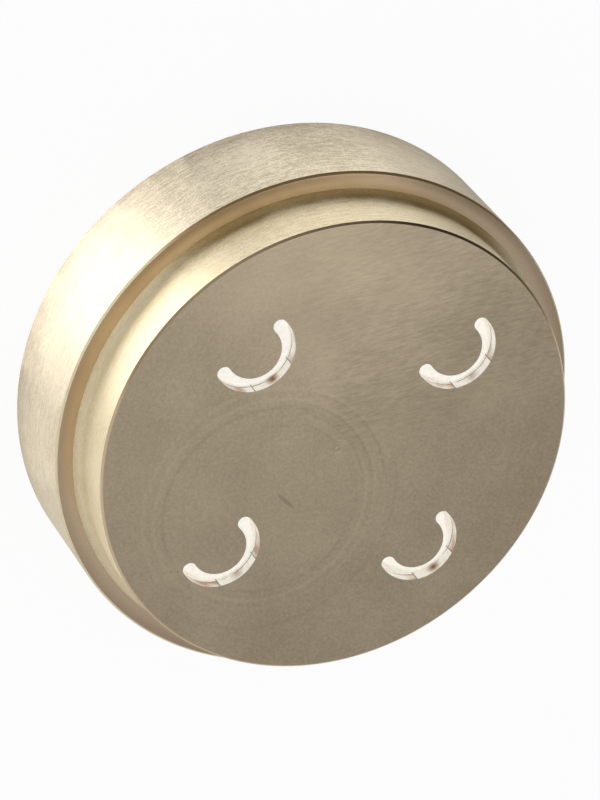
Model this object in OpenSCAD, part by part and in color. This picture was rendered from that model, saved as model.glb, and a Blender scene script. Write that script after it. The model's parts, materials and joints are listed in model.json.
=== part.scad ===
// Pasta extrusion die: one turned bronze disc with a flange that seats in the extruder
// and a spigot that stands through its ring nut. Dough comes in at the back through four
// round feed holes and leaves the front face through four C-shaped slots.
// Axis along +Z, back face on Z = 0, slots on a square that lies along X and Y.

/* [Turned body] */
// Outside diameter of the flange
flange_d = 52; // [46:0.5:60]
// Thickness of the flange, from the back face to the shoulder
flange_t = 11.6; // [6:0.2:20]
// Width of the shoulder that the ring nut clamps
shoulder_w = 2.5; // [1:0.1:3.5]
// Height of the spigot above the shoulder
spigot_h = 5.6; // [3:0.2:10]
// Chamfer that breaks the turned outside edges
edge_c = 0.3; // [0.1:0.05:0.6]
// Fillet that the tool's nose leaves at the spigot's root
root_r = 0.4; // [0.1:0.05:0.6]

/* [Slots] */
// Distance between slot centres, along both sides of the square
slot_pitch = 20.5; // [14:0.5:22]
// Radius of the middle line of a slot
slot_r = 3.4; // [2:0.1:4]
// Width of a slot, which sets the thickness of the pasta
slot_w = 1.36; // [0.6:0.02:2]
// How much wider than the slot its round ends are, where the cutter plunges and dwells
end_relief = 0.04; // [0.02:0.01:0.2]
// Angle between the centres of a slot's two round ends
slot_span = 192; // [90:2:270]
// Direction in which the back of every C points, from +X towards +Y
slot_aim = -45; // [-180:5:180]
// Length of the narrow slot before the feed hole opens out behind it
land_t = 1.4; // [0.8:0.1:4]

/* [Feed holes] */
// Room between a slot's outer wall and the wall of its feed hole
feed_margin = 1.4; // [0.6:0.1:2.5]
// Countersink at the mouth of a feed hole
feed_lead = 0.8; // [0.2:0.1:1.2]

/* [Hidden] */
$fn = 96;
// How far a cut runs past the face that it opens
overrun = 0.5;
flange_r = flange_d / 2;
spigot_r = flange_r - shoulder_w;
face_z = flange_t + spigot_h;
feed_r = slot_r + slot_w / 2 + feed_margin;
feed_h = face_z - land_t;
bronze = [0.72, 0.62, 0.46];

// Half section of the turned body, from the axis outwards
module body_section() {
    polygon([
        [0, 0],
        [flange_r - edge_c, 0],
        [flange_r, edge_c],
        [flange_r, flange_t - edge_c],
        [flange_r - edge_c, flange_t],
        [spigot_r, flange_t],
        [spigot_r, face_z - edge_c],
        [spigot_r - edge_c, face_z],
        [0, face_z]
    ]);
    translate([spigot_r, flange_t]) root_section();
}

// Section of the root fillet: a square corner less the nose of the tool
module root_section() {
    difference() {
        square(root_r);
        translate([root_r, root_r]) circle(r = root_r);
    }
}

// One C-shaped slot, cut through the land and out of the front face
module slot() {
    cut_h = land_t + 2 * overrun;
    translate([0, 0, feed_h - overrun])
        rotate([0, 0, slot_aim - slot_span / 2]) {
            rotate_extrude(angle = slot_span)
                translate([slot_r - slot_w / 2, 0]) square([slot_w, cut_h]);
            for (end = [0, slot_span])
                rotate([0, 0, end])
                    translate([slot_r, 0, 0]) cylinder(d = slot_w + end_relief, h = cut_h);
        }
}

// One feed hole, flat at the land and countersunk at the back face
module feed_hole() {
    translate([0, 0, -overrun]) cylinder(r = feed_r, h = feed_h + overrun);
    translate([0, 0, -overrun])
        cylinder(r1 = feed_r + feed_lead + overrun, r2 = feed_r, h = feed_lead + overrun);
}

module die_body() {
    color(bronze) difference() {
        rotate_extrude() body_section();
        for (x = [-1, 1], y = [-1, 1])
            translate([x, y] * slot_pitch / 2) {
                feed_hole();
                slot();
            }
    }
}

die_body();
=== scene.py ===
import json
from math import cos, pi, radians, sin, tan
import bpy
import numpy as np
from mathutils import Matrix, Vector
from mathutils.geometry import delaunay_2d_cdt


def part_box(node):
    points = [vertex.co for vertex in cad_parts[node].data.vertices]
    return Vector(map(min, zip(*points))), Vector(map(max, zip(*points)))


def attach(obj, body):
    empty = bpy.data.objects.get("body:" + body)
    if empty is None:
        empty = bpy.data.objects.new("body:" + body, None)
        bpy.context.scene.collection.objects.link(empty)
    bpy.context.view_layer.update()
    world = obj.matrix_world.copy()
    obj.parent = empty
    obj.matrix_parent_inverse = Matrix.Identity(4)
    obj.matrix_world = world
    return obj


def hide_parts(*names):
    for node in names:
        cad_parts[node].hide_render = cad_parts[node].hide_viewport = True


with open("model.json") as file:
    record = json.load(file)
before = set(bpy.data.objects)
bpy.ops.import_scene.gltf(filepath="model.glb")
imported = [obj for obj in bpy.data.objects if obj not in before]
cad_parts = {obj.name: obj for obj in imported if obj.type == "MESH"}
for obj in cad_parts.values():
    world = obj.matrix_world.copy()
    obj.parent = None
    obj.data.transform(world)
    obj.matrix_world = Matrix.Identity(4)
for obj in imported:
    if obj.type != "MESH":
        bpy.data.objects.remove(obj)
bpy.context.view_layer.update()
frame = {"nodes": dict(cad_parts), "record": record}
mm = 0.001  # one millimetre in metres: shapes below are worked out in millimetres
print("frame loaded:", ", ".join(sorted(frame["nodes"])))

mounts = {mount["name"]: mount for mount in frame["record"]["mounts"]}
feedBoxes = np.array([hole["box_m"] for hole in frame["record"]["physics"]["openings"]]) / mm

dieForm = {
    "flangeRadius": mounts["rim"]["dims"]["r_mm"] - 0.01,  # a hair inside the facets of the CAD rim
    "spigotRadius": mounts["spigot"]["dims"]["r_mm"],
    "shoulderHeight": mounts["shoulder"]["pos_m"][2] / mm,
    "faceHeight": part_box("die_body")[1].z / mm,
    "chamfer": 0.2,  # outside edges, a little finer than the CAD's 0.3, as in the photo
    "edgeRound": 0.05,  # how soft the chamfers' own edges are
    "rootFillet": 0.8,  # left by the nose of the tool, softer than the CAD's 0.4, as in the photo
    "margin": 0.4,  # flat strip that a swept profile keeps beside its first and last corner
    "slotCentres": feedBoxes.mean(axis=1)[:, :2],
    "slotRadius": 3.4,  # middle line of a slot
    "slotWidth": 1.36,
    "slotSpan": 192,  # degrees between the centres of its round ends
    "slotAim": -45,  # degrees, where the back of each C points
    "slotLand": 1.4,  # depth of the narrow slot
    "lipRound": 0.02,
    "feedRadius": 5.48,
    "feedLead": 0.8,  # countersink at the back
    "feedFillet": 0.25,
    "nibRadius": 0.55,  # the spot that the facing tool leaves on the axis
    "nibDepth": 0.025,
    "nibPole": 0.04,  # share of its radius inside which one point closes it
    "nibRings": 16,
    "aroundBody": 480,  # points round the body, a feed hole, a slot's arc and its end
    "aroundFeed": 120,
    "alongArc": 72,
    "roundEnd": 14,
    "bodyArc": 6,  # rows of faces on a rounded corner of the body, and of a slot or feed hole
    "holeArc": 4,
    "rowStep": 1.1,  # tallest row of faces on a wall, and on a slot's wall
    "slotRowStep": 0.275,
    "seedStep": 1.6,  # distance between the points inside the flat faces
}


def direction(azimuth, elevation):
    # unit vector at degrees from +X towards +Y, and degrees above the floor
    a, e = radians(azimuth), radians(elevation)
    return Vector((cos(a) * cos(e), sin(a) * cos(e), sin(e)))


def unitCircle(count):
    # cosine and sine of count equal steps of a full turn
    angle = np.arange(count) * 2 * pi / count
    return np.stack([np.cos(angle), np.sin(angle)], axis=1)


def roundedProfile(corners, radii, finishes, rowStep, arcSteps):
    # polyline of (offset, height) whose inner corners are rounded by arcs that touch both sides;
    # the normal at each point is the left hand side of the way along it. finishes names the finish
    # of each straight stretch and each corner, in turn
    corners = np.array(corners, float)
    ways = np.diff(corners, axis=0)
    ways /= np.linalg.norm(ways, axis=1)[:, None]
    lefts = np.stack([-ways[:, 1], ways[:, 0]], axis=1)
    arcs, arcNormals = [corners[:1]], [lefts[:1]]
    for i, radius in enumerate(radii, start=1):
        before, after = ways[i - 1], ways[i]
        turn = np.arctan2(before[0] * after[1] - before[1] * after[0], before @ after)
        start = corners[i] - before * radius * tan(abs(turn) / 2)
        angle = turn * np.linspace(0, 1, arcSteps + 1)[:, None]
        normals = np.cos(angle) * lefts[i - 1] - np.sin(angle) * before
        arcs.append(start - np.sign(turn) * radius * (normals - lefts[i - 1]))
        arcNormals.append(normals)
    arcs.append(corners[-1:])
    arcNormals.append(lefts[-1:])
    rows, rowNormals, bands = [arcs[0]], [arcNormals[0]], []
    for i in range(1, len(arcs)):
        gap = arcs[i][0] - arcs[i - 1][-1]
        steps = int(np.ceil(np.linalg.norm(gap) / rowStep))
        share = np.linspace(0, 1, steps + 1)[1:-1, None]
        rows += [arcs[i - 1][-1] + share * gap, arcs[i]]
        rowNormals += [np.repeat(lefts[i - 1:i], len(share), axis=0), arcNormals[i]]
        bands += [finishes[2 * i - 2]] * steps
        if i < len(arcs) - 1:
            bands += [finishes[2 * i - 1]] * arcSteps
    return np.concatenate(rows), np.concatenate(rowNormals), np.array(bands)


def newSkin():
    return {"points": np.zeros((0, 3)), "normals": np.zeros((0, 3)), "faces": [], "finish": []}


def addPoints(skin, points, normals):
    # gives back the new points' numbers, in the same grid as the points
    first = len(skin["points"])
    skin["points"] = np.concatenate([skin["points"], points.reshape(-1, 3)])
    skin["normals"] = np.concatenate([skin["normals"], normals.reshape(-1, 3)])
    return first + np.arange(points.size // 3).reshape(points.shape[:-1])


def addFaces(skin, faces, finish):
    # turns every face so that it looks the way its points' normals look
    corner = skin["points"][faces]
    looks = np.cross(corner[:, 1] - corner[:, 0], corner[:, 2] - corner[:, 0])
    backwards = np.einsum("ij,ij->i", looks, skin["normals"][faces].sum(axis=1)) < 0
    faces = faces.copy()
    faces[backwards] = faces[backwards][:, ::-1]
    skin["faces"] += faces.tolist()
    skin["finish"] += np.broadcast_to(finish, len(faces)).tolist()


def sweepLoop(skin, loop, outward, profile):
    # profile carried round a closed loop: loop point + offset * outward, at the profile's height
    rows, rowNormals, bands = profile
    flat = loop[None] + rows[:, None, :1] * outward[None]
    height = np.broadcast_to(rows[:, None, 1:], flat.shape[:2] + (1,))
    lean = rowNormals[:, None, :1] * outward[None]
    rise = np.broadcast_to(rowNormals[:, None, 1:], flat.shape[:2] + (1,))
    grid = addPoints(skin, np.concatenate([flat, height], 2), np.concatenate([lean, rise], 2))
    ahead = np.roll(grid, -1, axis=1)
    quads = np.stack([grid[:-1], ahead[:-1], ahead[1:], grid[1:]], axis=-1)
    addFaces(skin, quads.reshape(-1, 4), np.repeat(bands, len(loop)))
    return grid


def fillFlat(skin, loops, seeds, finish):
    # triangles between closed loops of one flat face, with seeds as extra points inside it
    rim = np.concatenate(loops)
    level, normal = skin["points"][rim[0], 2], skin["normals"][rim[0]]
    seedPoints = np.concatenate([seeds, np.full((len(seeds), 1), level)], axis=1)
    inner = addPoints(skin, seedPoints, np.repeat(normal[None], len(seeds), axis=0))
    used = np.concatenate([rim, inner])
    starts = np.cumsum([0] + [len(loop) for loop in loops])
    outlines = [np.arange(first, first + len(loop)) for first, loop in zip(starts, loops)]
    flat = skin["points"][used, :2]
    for i, outline in enumerate(outlines):
        x, y = flat[outline].T
        if np.sum(x * np.roll(y, -1) - y * np.roll(x, -1)) < 0:
            outlines[i] = outline[::-1]  # every outline runs anticlockwise
    allInside, merge = 1, 1e-6  # kind of result, and the distance within which points are one
    made = delaunay_2d_cdt([Vector(point) for point in flat], [],
                           [outline.tolist() for outline in outlines], allInside, merge)
    triangles, pointSources, faceSources = made[2], made[3], made[5]
    came = np.array([source[0] for source in pointSources])
    outsideHoles = [corners for corners, source in zip(triangles, faceSources)
                    if list(source) == [0]]
    addFaces(skin, used[came[np.array(outsideHoles)]], finish)


def ringSeeds(inner, outer, step, keepClear):
    # points on rings a step apart, clear of the circles (x, y, radius) in keepClear
    found = []
    for radius in np.arange(inner + step, outer - step / 2, step):
        found.append(radius * unitCircle(int(2 * pi * radius / step)))
    found = np.concatenate(found)
    apart = np.linalg.norm(found[:, None] - keepClear[None, :, :2], axis=2)
    return found[(apart > keepClear[None, :, 2]).all(axis=1)]


def slotOutline(form):
    # C outline about (0, 0): outer arc, round end, inner arc back, round end, with outward normals
    half = form["slotWidth"] / 2
    aim, reach = radians(form["slotAim"]), radians(form["slotSpan"] / 2)
    sweep = aim + np.linspace(-reach, reach, form["alongArc"])
    turn = np.linspace(0, pi, form["roundEnd"] + 1)[1:-1]
    spoke = np.stack([np.cos(sweep), np.sin(sweep)], axis=1)
    points, normals = [spoke * (form["slotRadius"] + half)], [spoke]
    for end, tip in ((aim + reach, 0), (aim - reach, pi)):
        cap = np.stack([np.cos(end + tip + turn), np.sin(end + tip + turn)], axis=1)
        centre = form["slotRadius"] * np.array([cos(end), sin(end)])
        points.append(centre + half * cap)
        normals.append(cap)
        if tip == 0:
            points.append(spoke[::-1] * (form["slotRadius"] - half))
            normals.append(-spoke[::-1])
    return np.concatenate(points), np.concatenate(normals)


faced, turned, bright, edged, milled = range(5)  # finishes, in the order of the die's materials


def nibProfile(form):
    # shallow dish with a small round button in it: depth * (cosine wave in radius), flat at its rim
    radius = np.linspace(1, form["nibPole"], form["nibRings"]) * form["nibRadius"]
    wave = 2 * pi * radius / form["nibRadius"]
    height = form["faceHeight"] - form["nibDepth"] * (1 - np.cos(wave)) / 2
    slope = -form["nibDepth"] * np.sin(wave) * pi / form["nibRadius"]
    normals = np.stack([-slope, np.ones_like(slope)], axis=1)
    normals /= np.linalg.norm(normals, axis=1)[:, None]
    return np.stack([radius, height], axis=1), normals, np.full(len(radius) - 1, faced)


def bodyProfile(form):
    # turned section, from the front face's edge down to the back face's edge
    edge, chamfer, margin = form["edgeRound"], form["chamfer"], form["margin"]
    spigot, flange = form["spigotRadius"], form["flangeRadius"]
    top, shoulder = form["faceHeight"], form["shoulderHeight"]
    corners = [(spigot - chamfer - margin, top), (spigot - chamfer, top), (spigot, top - chamfer)]
    corners += [(spigot, shoulder), (flange - chamfer, shoulder), (flange, shoulder - chamfer)]
    corners += [(flange, chamfer), (flange - chamfer, 0), (flange - chamfer - margin, 0)]
    radii = [edge, edge, form["rootFillet"], edge, edge, edge, edge]
    finishes = [faced, edged, edged, edged, bright, bright, edged, edged]
    finishes += [bright, bright, turned, edged, edged, edged, faced]
    return roundedProfile(corners, radii, finishes, form["rowStep"], form["bodyArc"])


def slotProfile(form):
    # from the lower edge of the land up to the front face
    lip, top = form["lipRound"], form["faceHeight"]
    ceiling = top - form["slotLand"]
    corners = [(2 * lip, ceiling), (0, ceiling), (0, top), (2 * lip, top)]
    finishes = [milled] * 4 + [faced]
    return roundedProfile(corners, [lip, lip], finishes, form["slotRowStep"], form["holeArc"])


def feedProfile(form):
    # from the back face up the countersink and the wall to the ceiling that the slot opens in
    edge, lead, margin = form["edgeRound"], form["feedLead"], form["margin"]
    ceiling = form["faceHeight"] - form["slotLand"]
    corners = [(lead + margin, 0), (lead, 0), (0, lead), (0, ceiling), (-margin, ceiling)]
    radii = [edge, edge, form["feedFillet"]]
    finishes = [faced] + [milled] * 6
    return roundedProfile(corners, radii, finishes, form["rowStep"], form["holeArc"])


def makeDie(form):
    skin = newSkin()
    spokes = unitCircle(form["aroundBody"])
    body = sweepLoop(skin, np.zeros_like(spokes), spokes, bodyProfile(form))

    # slots with their lands, and feed holes from behind
    outline, outlineNormals = slotOutline(form)
    feedCircle = unitCircle(form["aroundFeed"])
    noSeeds = np.zeros((0, 2))
    slotTops, feedMouths = [], []
    for centre in form["slotCentres"]:
        slot = sweepLoop(skin, centre + outline, outlineNormals, slotProfile(form))
        mouth = centre + form["feedRadius"] * feedCircle
        feed = sweepLoop(skin, mouth, feedCircle, feedProfile(form))
        fillFlat(skin, [feed[-1], slot[0]], noSeeds, milled)
        slotTops.append(slot[-1])
        feedMouths.append(feed[0])

    # button on the axis, closed by one point
    nib = sweepLoop(skin, np.zeros_like(feedCircle), feedCircle, nibProfile(form))
    pole = addPoints(skin, np.array([[0, 0, form["faceHeight"]]]), np.array([[0, 0, 1.0]]))
    poleFan = [nib[-1], np.roll(nib[-1], -1), np.repeat(pole, nib.shape[1])]
    addFaces(skin, np.stack(poleFan, axis=1), faced)

    # flat faces, front and back, whose inside points keep clear of slots and feed holes
    step, strip = form["seedStep"], form["chamfer"] + form["margin"]
    reach = np.full(len(outline), step / 2)
    clear = [np.column_stack([centre + outline, reach]) for centre in form["slotCentres"]]
    seeds = ringSeeds(form["nibRadius"], form["spigotRadius"] - strip, step, np.concatenate(clear))
    fillFlat(skin, [body[0], nib[0], *slotTops], seeds, faced)
    reach = form["feedRadius"] + form["feedLead"] + form["margin"] + step / 2
    clear = np.column_stack([form["slotCentres"], np.full(len(feedMouths), reach)])
    seeds = ringSeeds(0, form["flangeRadius"] - strip, step, clear)
    fillFlat(skin, [body[-1], *feedMouths], seeds, faced)
    return skin


def skinToObject(name, skin, materials):
    digits = 6  # decimals of a millimetre, which keep rounding noise out of the mesh
    mesh = bpy.data.meshes.new(name)
    mesh.from_pydata((np.round(skin["points"], digits) * mm).tolist(), [], skin["faces"])
    for material in materials:
        mesh.materials.append(material)
    mesh.polygons.foreach_set("material_index", np.array(skin["finish"], np.int32))
    mesh.shade_smooth()
    mesh.normals_split_custom_set_from_vertices(skin["normals"].tolist())
    mesh.update()
    piece = bpy.data.objects.new(name, mesh)
    bpy.context.scene.collection.objects.link(piece)
    return piece


def hexToLinear(code):
    # sRGB hex to the linear colour that shaders take
    parts = np.array([int(code[i:i + 2], 16) for i in (1, 3, 5)]) / 255
    linear = np.where(parts <= 0.04045, parts / 12.92, ((parts + 0.055) / 1.055) ** 2.4)
    return (*linear.tolist(), 1.0)


def addNode(tree, kind, inputs=None, **settings):
    # inputs are sockets to link or plain values to set
    node = tree.nodes.new(kind)
    for key, value in settings.items():
        setattr(node, key, value)
    for key, value in (inputs or {}).items():
        if isinstance(value, bpy.types.NodeSocket):
            tree.links.new(value, node.inputs[key])
        else:
            node.inputs[key].default_value = value
    return node


def maths(tree, operation, *terms):
    return addNode(tree, "ShaderNodeMath", dict(enumerate(terms)), operation=operation).outputs[0]


def vectorMaths(tree, operation, *terms):
    node = addNode(tree, "ShaderNodeVectorMath", dict(enumerate(terms)), operation=operation)
    givesNumber = operation in ("LENGTH", "DISTANCE", "DOT_PRODUCT")
    return node.outputs["Value" if givesNumber else "Vector"]


def mapRange(tree, value, low, high, start=0.0, end=1.0, smooth=True):
    # start where the value is low, end where it is high, and a smooth or straight way between
    return addNode(tree, "ShaderNodeMapRange",
                   {"Value": value, "From Min": low, "From Max": high,
                    "To Min": start, "To Max": end},
                   interpolation_type="SMOOTHSTEP" if smooth else "LINEAR").outputs[0]


def blend(tree, first, second, share):
    # first * (1 - share) + second * share
    return addNode(tree, "ShaderNodeMix", {"Factor": share, "A": first, "B": second}).outputs[0]


def mixColour(tree, colour, code, share, way="MIX"):
    return addNode(tree, "ShaderNodeMix", {"Factor": share, "A": colour, "B": hexToLinear(code)},
                   data_type="RGBA", blend_type=way).outputs["Result"]


def splitPlace(tree, place):
    return addNode(tree, "ShaderNodeSeparateXYZ", {0: place}).outputs


def flatPlace(tree, place):
    # the way from the axis, without the height
    return vectorMaths(tree, "MULTIPLY", place, (1, 1, 0))


def turnedPlace(tree, place, heading):
    # place in axes whose X points at heading degrees
    return addNode(tree, "ShaderNodeVectorRotate", {"Vector": place, "Angle": -radians(heading)},
                   rotation_type="Z_AXIS").outputs[0]


def spots(tree, place, size, detail):
    # even noise whose spots are about size millimetres across
    return addNode(tree, "ShaderNodeTexNoise",
                   {"Vector": place, "Scale": 1 / (size * mm), "Detail": detail,
                    "Roughness": 0.55}).outputs["Fac"]


def streaks(tree, place, sizes):
    # noise whose spots have these sizes in millimetres along the three axes
    stretched = vectorMaths(tree, "MULTIPLY", place, [1 / (size * mm) for size in sizes])
    return addNode(tree, "ShaderNodeTexNoise",
                   {"Vector": stretched, "Scale": 1.0, "Detail": 2.0,
                    "Roughness": 0.6}).outputs["Fac"]


def latheLines(tree, place, plan):
    # rings that a tool's feed leaves: noise that is thin along the tool's way and long around
    # the axis
    radius = vectorMaths(tree, "LENGTH", flatPlace(tree, place))
    split = splitPlace(tree, place)
    travel = maths(tree, "SUBTRACT", radius, split["Z"])  # way of the tool along the section
    path = addNode(tree, "ShaderNodeCombineXYZ", {"X": split["X"], "Y": split["Y"], "Z": travel})
    lines = [streaks(tree, path.outputs[0], (length, length, spacing))
             for spacing, length in zip(plan["lineSpacing"], plan["lineLength"])]
    return blend(tree, *lines, plan["coarseShare"])


def toneRamp(tree, value, plan):
    colour = addNode(tree, "ShaderNodeValToRGB", {"Fac": value})
    ramp = colour.color_ramp.elements
    ramp[0].position, ramp[1].position = plan["toneRange"]
    ramp[0].color, ramp[1].color = hexToLinear(plan["dark"]), hexToLinear(plan["light"])
    return colour.outputs[0]


def finishBronze(tree, plan, colour, height):
    # metal whose highlight is spread across the rings that run around the axis
    usual, quarterTurn = (0.3, 0.7), 0.25  # range of most of the noise, and share of a turn
    rough = mapRange(tree, height, *usual, *plan["roughness"], smooth=False)
    bump = addNode(tree, "ShaderNodeBump",
                   {"Height": height, "Strength": 1.0, "Distance": plan["lineDepth"] * mm})
    tangent = addNode(tree, "ShaderNodeTangent", direction_type="RADIAL", axis="Z")
    shader = addNode(tree, "ShaderNodeBsdfPrincipled",
                     {"Base Color": colour, "Metallic": 1.0, "Roughness": rough,
                      "Anisotropic": plan["anisotropy"], "Anisotropic Rotation": quarterTurn,
                      "Normal": bump.outputs[0], "Tangent": tangent.outputs[0]})
    addNode(tree, "ShaderNodeOutputMaterial", {"Surface": shader.outputs[0]})


def oneSide(tree, place, towards, reach):
    # one on the side of the axis at towards degrees: smooth step of the cosine of the angle from it
    spoke = vectorMaths(tree, "NORMALIZE", flatPlace(tree, place))
    lean = vectorMaths(tree, "DOT_PRODUCT", spoke, direction(towards, 0))
    return mapRange(tree, lean, *reach)


def scuffed(tree, side, tone, contrast):
    # contrast of the tone about its middle, which differs between one side of the axis and the rest
    middle = 0.5
    share = mapRange(tree, side, 0, 1, *contrast, smooth=False)
    return maths(tree, "MULTIPLY_ADD", maths(tree, "SUBTRACT", tone, middle), share, middle)


def darkenedZone(tree, place, colour, cloud, plan):
    # darker on one side of the axis, on one side of a height, which the cloud noise moves up and
    # down, and, where the plan says so, outside a radius: painted shade on the turned bronze, and a
    # tan near the back face on the milled bronze
    drift = 2 * mm
    wander = maths(tree, "MULTIPLY_ADD", cloud, drift, -drift / 2)
    height = maths(tree, "ADD", splitPlace(tree, place)["Z"], wander)
    deep = mapRange(tree, height, plan["fades"][0] * mm, plan["fades"][1] * mm, 1, 0)
    near = oneSide(tree, place, plan["towards"], plan["reach"])
    share = maths(tree, "MULTIPLY", deep, near)
    if "outside" in plan:
        radius = vectorMaths(tree, "LENGTH", flatPlace(tree, place))
        ring = mapRange(tree, radius, plan["outside"][0] * mm, plan["outside"][1] * mm)
        share = maths(tree, "MULTIPLY", share, ring)
    return mixColour(tree, colour, plan["tone"], share, "MULTIPLY")


def newMaterial(name):
    material = bpy.data.materials.new(name)
    material.use_nodes = True
    material.node_tree.nodes.clear()
    return material, material.node_tree


def objectPlace(tree):
    return addNode(tree, "ShaderNodeTexCoord").outputs["Object"]


def turnedBronze(name, plan):
    # tin bronze turned on a lathe: fine short streaks around it, which draw a highlight out along
    # the axis and are plainest on the side that was handled, over a tone that varies at random,
    # with painted shade in the zones that its plan lists
    material, tree = newMaterial(name)
    place = objectPlace(tree)
    grain = spots(tree, place, plan["grainSize"], detail=1.0)
    lines = blend(tree, latheLines(tree, place, plan), grain, plan["grainShare"])
    cloud = spots(tree, place, plan["cloudSize"], detail=4.0)
    side = oneSide(tree, place, plan["scuff"]["towards"], plan["scuff"]["reach"])
    tone = blend(tree, cloud, lines, plan["lineShare"])
    colour = toneRamp(tree, scuffed(tree, side, tone, plan["scuff"]["contrast"]), plan)
    # painted shade, in the zones that the plan lists
    for patch in plan["darkening"]:
        colour = darkenedZone(tree, place, colour, cloud, patch)
    finishBronze(tree, plan, colour, lines)
    return material


def paintedGrooveShading(tree, place, centre, plan):
    # parts of a few rings round a point off the axis: the sum of strength * smooth step of how near
    # the distance is to each ring's radius, on one side of that point; added to a tone, a negative
    # strength is painted shade and a positive one painted highlight, of grooves lit from one side
    away = vectorMaths(tree, "SUBTRACT", place, Vector(centre) * mm)
    radius = vectorMaths(tree, "LENGTH", flatPlace(tree, away))
    total = 0.0
    for at, wide, strength in plan["rings"]:
        gap = maths(tree, "ABSOLUTE", maths(tree, "SUBTRACT", radius, at * mm))
        ring = mapRange(tree, gap, wide / 2 * mm, 0, 0, strength)
        total = maths(tree, "ADD", ring, total)
    return maths(tree, "MULTIPLY", total, oneSide(tree, away, plan["towards"], plan["reach"]))


def nick(tree, place, plan):
    # one where the surface is nicked: inside a long thin ellipse, and less so near its rim
    rim, bottom = 1.0, 0.3
    long, wide = plan["size"]
    local = vectorMaths(tree, "SUBTRACT", place, Vector(plan["centre"]) * mm)
    local = turnedPlace(tree, local, plan["heading"])
    local = vectorMaths(tree, "MULTIPLY", local, (2 / (long * mm), 2 / (wide * mm), 1 / mm))
    return mapRange(tree, vectorMaths(tree, "LENGTH", local), rim, bottom)


def facedBronze(name, plan):
    # front and back face, cut from the rim to the axis and then rubbed dull: fine rings under a
    # grain, and on the front short strokes on one side, a nick, and a few faint off-centre rings
    # whose painted shade and painted highlight stand for grooves lit from one side
    material, tree = newMaterial(name)
    place = objectPlace(tree)
    grain = spots(tree, place, plan["grainSize"], detail=1.0)
    fine = blend(tree, latheLines(tree, place, plan), grain, plan["grainShare"])
    front = maths(tree, "GREATER_THAN", splitPlace(tree, place)["Z"], plan["frontAbove"] * mm)
    side = oneSide(tree, place, plan["scuff"]["towards"], plan["scuff"]["reach"])
    side = maths(tree, "MULTIPLY", side, front)
    marks = plan["strokes"]
    strokes = streaks(tree, turnedPlace(tree, place, marks["heading"]), marks["sizes"])
    fine = blend(tree, fine, strokes, maths(tree, "MULTIPLY", side, marks["share"]))
    cloud = spots(tree, place, plan["cloudSize"], detail=4.0)
    tone = blend(tree, cloud, fine, plan["lineShare"])
    tone = scuffed(tree, side, tone, plan["scuff"]["contrast"])
    # painted shade and painted highlight of off-centre grooves, on the front only
    for swirl in plan["swirls"]:
        rings = paintedGrooveShading(tree, place, plan["swirlCentre"], swirl)
        tone = maths(tree, "MULTIPLY_ADD", rings, front, tone)
    hollow = nick(tree, place, plan["nick"])
    tone = maths(tree, "MULTIPLY_ADD", hollow, -plan["nick"]["darkness"], tone)
    height = maths(tree, "SUBTRACT", fine, hollow)
    finishBronze(tree, plan, toneRamp(tree, tone, plan), height)
    return material


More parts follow.
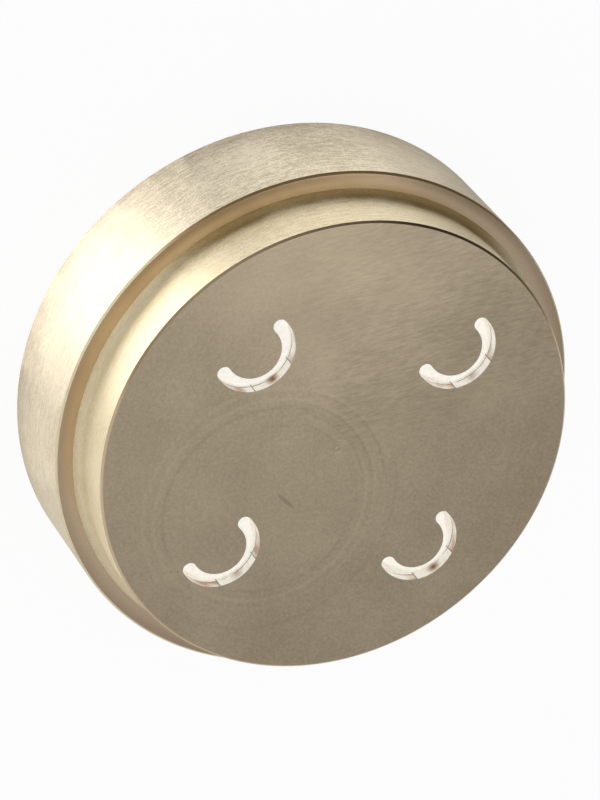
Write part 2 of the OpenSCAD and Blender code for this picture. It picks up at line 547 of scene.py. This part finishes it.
def milledBronze(name, plan):
    # slots and feed holes, milled and drilled: near white, which is painted light; a painted shade
    # line along the slot's wall and painted shade across it at two corners; a painted reflection of
    # the brown opposite wall on the upper wall beyond those corners and as a round spot between
    # them, stronger in two of the slots; tan near the back face
    material, tree = newMaterial(name)
    place = objectPlace(tree)
    grain = spots(tree, place, plan["markSize"], detail=3.0)
    patch = spots(tree, place, plan["patchSize"], detail=1.0)

    # the angle from the middle of a slot's arc, and the height, a little uneven
    corner = vectorMaths(tree, "SIGN", place)
    centre = vectorMaths(tree, "MULTIPLY", corner, plan["slotCentre"])
    local = turnedPlace(tree, vectorMaths(tree, "SUBTRACT", place, centre), plan["slotAim"])
    split = splitPlace(tree, local)
    angle = maths(tree, "ARCTAN2", split["Y"], split["X"])
    wander = plan["wander"] * mm
    wander = maths(tree, "MULTIPLY_ADD", grain, wander, -wander / 2)
    height = maths(tree, "ADD", split["Z"], wander)

    # painted shade: a line along the wall, which patches break up, and lines across it at two
    # corners
    edgeShadeHeight = plan["edgeShadeHeight"] * mm
    edgeShade = maths(tree, "COMPARE", height, edgeShadeHeight, plan["edgeShadeWidth"] * mm / 2)
    marks = maths(tree, "MULTIPLY", edgeShade, mapRange(tree, patch, *plan["edgeShadePatches"], smooth=False))
    for at, wide in plan["cornerShades"]:
        cornerShade = maths(tree, "COMPARE", angle, radians(at), radians(wide / 2))
        marks = maths(tree, "MAXIMUM", marks, cornerShade)
    inSlot = maths(tree, "GREATER_THAN", split["Z"], plan["slotFloor"] * mm)
    marks = maths(tree, "MULTIPLY", marks, inSlot)
    marks = maths(tree, "MULTIPLY", marks, plan["markShare"])

    # painted reflection of the brown opposite wall, on the upper wall beyond the two shaded corners
    first, last = (radians(at) for at, wide in plan["cornerShades"])
    between = maths(tree, "COMPARE", angle, (first + last) / 2, (last - first) / 2)
    beyond = maths(tree, "SUBTRACT", 1.0, between)
    upper = maths(tree, "GREATER_THAN", height, edgeShadeHeight)
    brownReflection = mapRange(tree, patch, *plan["brownReflectionPatches"], 0, plan["brownReflectionShare"], smooth=False)
    brownReflection = maths(tree, "MULTIPLY", beyond, maths(tree, "MULTIPLY", brownReflection, upper))

    # painted reflection of the brown opposite wall, a round spot on the wall: the product of the
    # corner's signs tells the two kinds of slots apart
    signs = splitPlace(tree, corner)
    product = maths(tree, "MULTIPLY", signs["X"], signs["Y"])
    strength = mapRange(tree, product, 1, -1, *plan["reflectedSpotShares"], smooth=False)
    along = maths(tree, "MULTIPLY", angle, plan["slotRadius"] * mm)
    unrolled = addNode(tree, "ShaderNodeCombineXYZ", {"X": along, "Y": height}).outputs[0]
    away = vectorMaths(tree, "DISTANCE", unrolled, Vector(plan["reflectedSpotAt"]) * mm)
    reflectedSpot = mapRange(tree, away, 0, plan["reflectedSpotSize"] * mm, 1, 0)
    reflectedSpot = maths(tree, "MULTIPLY", reflectedSpot, strength)

    colour = mixColour(tree, toneRamp(tree, grain, plan), plan["brownReflection"], brownReflection)
    colour = mixColour(tree, colour, plan["mark"], marks)
    colour = mixColour(tree, colour, plan["reflectedSpot"], reflectedSpot)
    colour = darkenedZone(tree, place, colour, patch, plan["darkening"])
    bump = addNode(tree, "ShaderNodeBump",
                   {"Height": grain, "Strength": 1.0, "Distance": plan["markDepth"] * mm})
    shader = addNode(tree, "ShaderNodeBsdfPrincipled",
                     {"Base Color": colour, "Metallic": 1.0, "Roughness": plan["roughness"],
                      "Normal": bump.outputs[0]})
    addNode(tree, "ShaderNodeOutputMaterial", {"Surface": shader.outputs[0]})
    return material


facedPlan = {
    "lineSpacing": (0.14, 0.9),  # real feed is nearer 0.08: drawn coarser so that it shows
    "lineLength": (4.0, 6.0),
    "coarseShare": 0.4,
    "strokes": {"heading": 15, "sizes": (1.1, 0.2, 1.1), "share": 0.8},
    "grainSize": 0.27,
    "grainShare": 0.75,
    "scuff": {"contrast": (0.6, 0.9), "towards": 65, "reach": (0.3, 0.95)},
    "frontAbove": dieForm["shoulderHeight"],  # the back face has no rubbing marks
    "swirlCentre": (-6.3, -5.8, 0),
    # rings whose tone paints the shade and highlight of grooves lit from one side
    "swirls": [  # radius, width and strength of each ring
        {"towards": 130, "reach": (-0.5, 0.5),
         "rings": ((8.4, 0.6, -0.025), (10.3, 0.7, -0.06), (11.2, 0.7, 0.04), (12.3, 0.8, 0.035))},
        {"towards": 47, "reach": (0.75, 0.98),
         "rings": ((8.8, 0.5, -0.06), (9.9, 0.5, -0.06), (10.8, 0.6, -0.07), (12.1, 0.5, -0.07))},
        {"towards": 310, "reach": (-0.3, 0.6),
         "rings": ((9.2, 0.6, -0.035), (10.2, 0.7, 0.06), (11.1, 0.5, 0.035), (13.2, 0.7, -0.035))},
    ],
    "nick": {"centre": (-4.3, -5.4, dieForm["faceHeight"]), "heading": -37, "size": (2.8, 0.42),
             "darkness": 0.8},
    "cloudSize": 8.0,
    "lineShare": 0.6,
    "toneRange": (0.35, 0.65),
    "dark": "#a0927c",
    "light": "#c3b39a",
    "roughness": (0.42, 0.48),
    "lineDepth": 0.003,
    "anisotropy": 0.15,
}
turnedPlan = {
    "lineSpacing": (0.09, 0.3),  # about the feed of a finishing cut, and coarser waves over it
    "lineLength": (0.8, 2.5),
    "coarseShare": 0.3,
    "grainSize": 0.16,
    "grainShare": 0.3,
    "cloudSize": 9.0,
    "lineShare": 0.8,
    "toneRange": (0.4, 0.6),
    "scuff": {"contrast": (0.8, 1.7), "towards": 108, "reach": (0.85, 0.98)},
    "dark": "#c4b79d",
    "light": "#f3e7cf",
    "darkening": [],
    "roughness": (0.44, 0.5),
    "lineDepth": 0.002,
    "anisotropy": 0.9,
}
# heights between which painted shade fades: up from the spigot's root, up from the flange and its
# shoulder, and down from the spigot's front edge
rootBand = (dieForm["shoulderHeight"] + 0.2, dieForm["shoulderHeight"] + 0.9)
stepBand = (dieForm["shoulderHeight"] + 2, dieForm["shoulderHeight"] + 4)
rimBand = (dieForm["faceHeight"] - 1.5, dieForm["faceHeight"] - 2.5)
allRound = (-2, -1)  # reach that takes in every direction
# spigot wall, root fillet and the flange's front edge: a lighter copy of the turned bronze, which
# is painted light, with painted shade along that edge and in the spigot's root on the side towards
# 92 degrees
paintedLitPlan = turnedPlan | {
    "scuff": {"contrast": (0.7, 1.7), "towards": 105, "reach": (0.8, 0.98)},
    "dark": "#e2d2ab",
    "light": "#fdf1d4",
    "darkening": [{"tone": "#c4b294", "fades": rootBand, "towards": 92, "reach": (0.6, 0.85)},
                {"tone": "#bbb8b0", "fades": stepBand, "towards": 92, "reach": (0.7, 0.95),
                 "outside": (24.6, 25.2)}],
}
# shoulder and the other edges: smoother and even all round, with painted shade, darkest along the
# shoulder's outside, over the shoulder and the edges below it except about 105 degrees, and on
# the front chamfer towards 62, 97 and 205 degrees
edgedPlan = turnedPlan | {
    "lineSpacing": (0.12, 0.5),
    "lineLength": (3.0, 5.0),
    "lineShare": 0.5,
    "toneRange": (0.3, 0.7),
    "scuff": {"contrast": (1.0, 1.0), "towards": 0, "reach": (0, 1)},
    "darkening": [{"tone": "#e7e6e5", "fades": stepBand, "towards": 285, "reach": (-0.99, -0.8)},
                {"tone": "#d0ccc2", "fades": rimBand, "towards": 97, "reach": (0.3, 0.5)},
                {"tone": "#b4b4ab", "fades": rimBand, "towards": 62, "reach": (0.85, 0.97)},
                {"tone": "#eae6e0", "fades": rimBand, "towards": 205, "reach": (0.3, 0.7)},
                {"tone": "#e7e5e3", "fades": stepBand, "towards": 97, "reach": allRound,
                 "outside": (24.5, 25.7)},
                {"tone": "#dfdcd8", "fades": stepBand, "towards": 97, "reach": (0.5, 0.85),
                 "outside": (24.8, 25.7)}],
    "dark": "#d7c0a2",
    "light": "#e5ceb1",
    "roughness": (0.22, 0.28),
    "lineDepth": 0.001,
    "anisotropy": 0.3,
}
milledPlan = {
    "markSize": 0.5,
    "toneRange": (0.3, 0.7),
    # near-white base: painted light for the brightly lit slots
    "dark": "#efebe2",
    "light": "#faf8f3",
    # painted shade: colour and share of the dark line along the slot wall and across it at two
    # corners
    "mark": "#5a5248",
    "markShare": 0.65,
    "darkening": {"tone": "#d8c49c", "fades": (0.3, 1.5), "towards": 0, "reach": allRound},
    # painted reflection of the brown opposite wall on the slot's upper wall
    "brownReflection": "#b08a68",
    "brownReflectionShare": 0.9,
    "brownReflectionPatches": (0.65, 0.4),  # noise at which the painted brown reflection begins and is full
    "patchSize": 2.2,
    "slotCentre": Vector((*np.abs(dieForm["slotCentres"]).max(axis=0), 0)) * mm,
    "slotAim": dieForm["slotAim"],
    "slotRadius": dieForm["slotRadius"] + dieForm["slotWidth"] / 2,
    "slotFloor": dieForm["faceHeight"] - dieForm["slotLand"],
    "edgeShadeHeight": dieForm["faceHeight"] - 1.0,
    "edgeShadeWidth": 0.16,
    "edgeShadePatches": (0.36, 0.5),  # noise at which the painted shade line begins and is full
    "wander": 0.2,
    "cornerShades": ((-34, 1.8), (28, 1.8)),  # degrees from the middle of the arc, and wide
    # painted reflection: a round brown spot on the slot wall
    "reflectedSpot": "#855528",
    "reflectedSpotAt": (-0.35, dieForm["faceHeight"] - 0.7, 0),  # along the arc, and its height
    "reflectedSpotSize": 1.0,
    "reflectedSpotShares": (0.5, 1.0),  # in the slots on one diagonal, and on the other
    "roughness": 0.15,
    "markDepth": 0.0005,
}

materials = [
    facedBronze("bronze, faced on the lathe", facedPlan),
    turnedBronze("bronze, turned on the lathe", turnedPlan),
    turnedBronze("bronze, turned, painted lighter as if lit", paintedLitPlan),
    turnedBronze("bronze, edges cut with a form tool", edgedPlan),
    milledBronze("bronze, milled and drilled", milledPlan),
]
die = skinToObject("die", makeDie(dieForm), materials)
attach(die, "root")
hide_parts("die_body")
print("die built:", len(die.data.vertices), "points,", len(die.data.polygons), "faces")

stagePlan = {
    "size": 3000,  # millimetres
    "drop": 0.05,  # the floor lies a hair below the back face
    "colour": "#f4f4f4",
    "seenWhite": 0.94,  # share of plain white that the camera sees
    "shownWhite": 0.35,  # and that reflections see
}


def makeFloor(plan):
    # paper that is partly plain white to the camera and to reflections, and takes shadows
    half = plan["size"] / 2
    corners = np.array([(-half, -half), (half, -half), (half, half), (-half, half)])
    points = np.column_stack([corners, np.full(4, -plan["drop"])]) * mm
    mesh = bpy.data.meshes.new("floor")
    mesh.from_pydata(points.tolist(), [], [(0, 1, 2, 3)])
    floor = bpy.data.objects.new("floor", mesh)
    bpy.context.scene.collection.objects.link(floor)
    material, tree = newMaterial("white paper sweep")
    rays = addNode(tree, "ShaderNodeLightPath").outputs
    mirrored = maths(tree, "MAXIMUM", rays["Is Glossy Ray"], rays["Is Transmission Ray"])
    shown = maths(tree, "MULTIPLY", mirrored, plan["shownWhite"])
    share = maths(tree, "MULTIPLY_ADD", rays["Is Camera Ray"], plan["seenWhite"], shown)
    paper = addNode(tree, "ShaderNodeBsdfDiffuse", {"Color": hexToLinear(plan["colour"])})
    white = addNode(tree, "ShaderNodeEmission", {"Color": (1, 1, 1, 1), "Strength": 1.0})
    mixed = addNode(tree, "ShaderNodeMixShader",
                    {0: share, 1: paper.outputs[0], 2: white.outputs[0]})
    addNode(tree, "ShaderNodeOutputMaterial", {"Surface": mixed.outputs[0]})
    mesh.materials.append(material)


panelPlan = {
    # lit parts of the table, which shine up at the walls and through the slots: a corner, the
    # heading of the long side from there, the width to the left of it, where it starts along that
    # side, how far its side is frayed, where it ends and the number of sheets that do this
    "left": {"corner": (-15.6, 20.8), "heading": 120, "wide": 30, "starts": (0, -12),
             "fray": (-3, 12.5), "end": 75, "sheets": 5, "radiance": 2.6},
    "farLeft": {"corner": (-37.2, 8.3), "heading": 120, "wide": 60, "starts": (0, -50),
                "fray": (0, 0), "end": 75, "sheets": 3, "radiance": 0.85},
    "leftFar": {"corner": (-34, 1), "heading": 67.4, "wide": 25, "starts": (-9, -9),
                "fray": (0, 0), "end": 30, "sheets": 1, "radiance": 0.75},
    "side": {"corner": (30, 26.5), "heading": 90, "wide": 58, "starts": (0, 5),
             "fray": (0, 0), "end": 60, "sheets": 2, "radiance": 0.45},
    "sideFar": {"corner": (30, 33), "heading": 90, "wide": 58, "starts": (0, 3),
                "fray": (0, 0), "end": 54, "sheets": 2, "radiance": 0.6},
    "under": {"corner": (17, -17), "heading": 90, "wide": 34, "starts": (0, 0),
              "fray": (0, 0), "end": 34, "sheets": 1, "radiance": 0.55},
}
fillPlan = {
    # weak diffusers over the object, which light the front face's left side and its upper edge
    "wideFill": {"at": (-5, -12, 66), "wide": 58, "tall": 64, "radiance": 0.21},
    "topFill": {"at": (18, 7, 65), "wide": 24, "tall": 24, "radiance": 1.35},
}


def makeLamp(name, plan, place, rise, back):
    # rectangle whose tall side runs along rise and whose dark side looks along back
    lamp = bpy.data.lights.new(name, "AREA")
    lamp.shape = "RECTANGLE"
    lamp.size, lamp.size_y = plan["wide"] * mm, plan["tall"] * mm
    lamp.energy = plan["radiance"] * pi * lamp.size * lamp.size_y  # watts that give that radiance
    holder = bpy.data.objects.new(name, lamp)
    bpy.context.scene.collection.objects.link(holder)
    facing = Matrix((rise.cross(back), rise, back)).transposed().to_4x4()
    holder.matrix_world = Matrix.Translation(place * mm) @ facing
    holder.visible_camera = False


def makePanels(plans):
    # each is a stack of sheets that start further and further along, so that its end and its side
    # fade out; one lies a hair below another, because a reflection shows only one at each height,
    # and no more than seven lie over each other, because a reflection ends at the eighth
    sink, hair = 0.01, 0.001
    down = Vector((0, 0, -1))
    for name, plan in plans.items():
        along, left = direction(plan["heading"], 0), direction(plan["heading"] + 90, 0)
        count = plan["sheets"]
        starts, frays = np.linspace(*plan["starts"], count), np.linspace(*plan["fray"], count)
        for start, fray in zip(starts, frays):
            sheet = {"wide": plan["wide"] - fray, "tall": plan["end"] - start,
                     "radiance": plan["radiance"] / count}
            middle = Vector((*plan["corner"], -sink)) + left * (plan["wide"] + fray) / 2
            middle += along * (start + plan["end"]) / 2
            makeLamp(name, sheet, middle, along, down)
            sink += hair


def makeFills(plans):
    for name, plan in plans.items():
        makeLamp(name, plan, Vector(plan["at"]), Vector((0, 1, 0)), Vector((0, 0, 1)))


worldPlan = {
    # level, how much lighter it is towards one side, and that side in degrees
    "walls": {"level": 0.5, "tilt": 0.85, "towards": 225},
    "overhead": {"level": 0.66, "tilt": 0.3, "towards": 133.5},
    "between": (0.5, 0.75),  # sine of the elevations where the walls turn into diffusers overhead
}


def makeWorld(plan):
    # radiance = walls + (overhead - walls) * smooth step of the height, where each of the two is
    # its level * (1 + tilt * lean towards its lighter side)
    world = bpy.data.worlds.new("studio")
    world.use_nodes = True
    tree = world.node_tree
    tree.nodes.clear()
    way = addNode(tree, "ShaderNodeTexCoord").outputs["Generated"]
    glows = []
    for part in (plan["walls"], plan["overhead"]):
        lean = vectorMaths(tree, "DOT_PRODUCT", way, direction(part["towards"], 0))
        glows.append(maths(tree, "MULTIPLY_ADD", lean, part["level"] * part["tilt"], part["level"]))
    radiance = mapRange(tree, splitPlace(tree, way)["Z"], *plan["between"], *glows)
    glow = addNode(tree, "ShaderNodeBackground", {"Color": (1, 1, 1, 1), "Strength": radiance})
    addNode(tree, "ShaderNodeOutputWorld", {"Surface": glow.outputs[0]})
    bpy.context.scene.world = world


cameraPlan = {
    "azimuth": 133.92,
    "elevation": 54.79,
    "roll": 140.78,  # degrees that the view is turned about its own axis
    "distance": 426.3,
    "aside": (-3.513, 4.625),  # aim from the front face's centre, to the right and up in the view
    "lens": 204.4,
    "sensor": 36.0,
}


def makeCamera(plan):
    back = direction(plan["azimuth"], plan["elevation"])
    level = Vector((0, 0, 1)).cross(back).normalized()
    rise = back.cross(level)
    roll = radians(plan["roll"])
    right = cos(roll) * level + sin(roll) * rise
    up = back.cross(right)
    aim = Vector((0, 0, dieForm["faceHeight"])) + plan["aside"][0] * right + plan["aside"][1] * up
    lens = bpy.data.cameras.new("camera")
    lens.lens = plan["lens"]
    lens.sensor_width = plan["sensor"]
    camera = bpy.data.objects.new("camera", lens)
    facing = Matrix((right, up, back)).transposed().to_4x4()
    camera.matrix_world = Matrix.Translation((aim + back * plan["distance"]) * mm) @ facing
    bpy.context.scene.collection.objects.link(camera)
    bpy.context.scene.camera = camera


makeFloor(stagePlan)
makePanels(panelPlan)
makeFills(fillPlan)
makeWorld(worldPlan)
makeCamera(cameraPlan)
bpy.context.scene.view_settings.view_transform = "Standard"
print("stage, lamps and camera set")
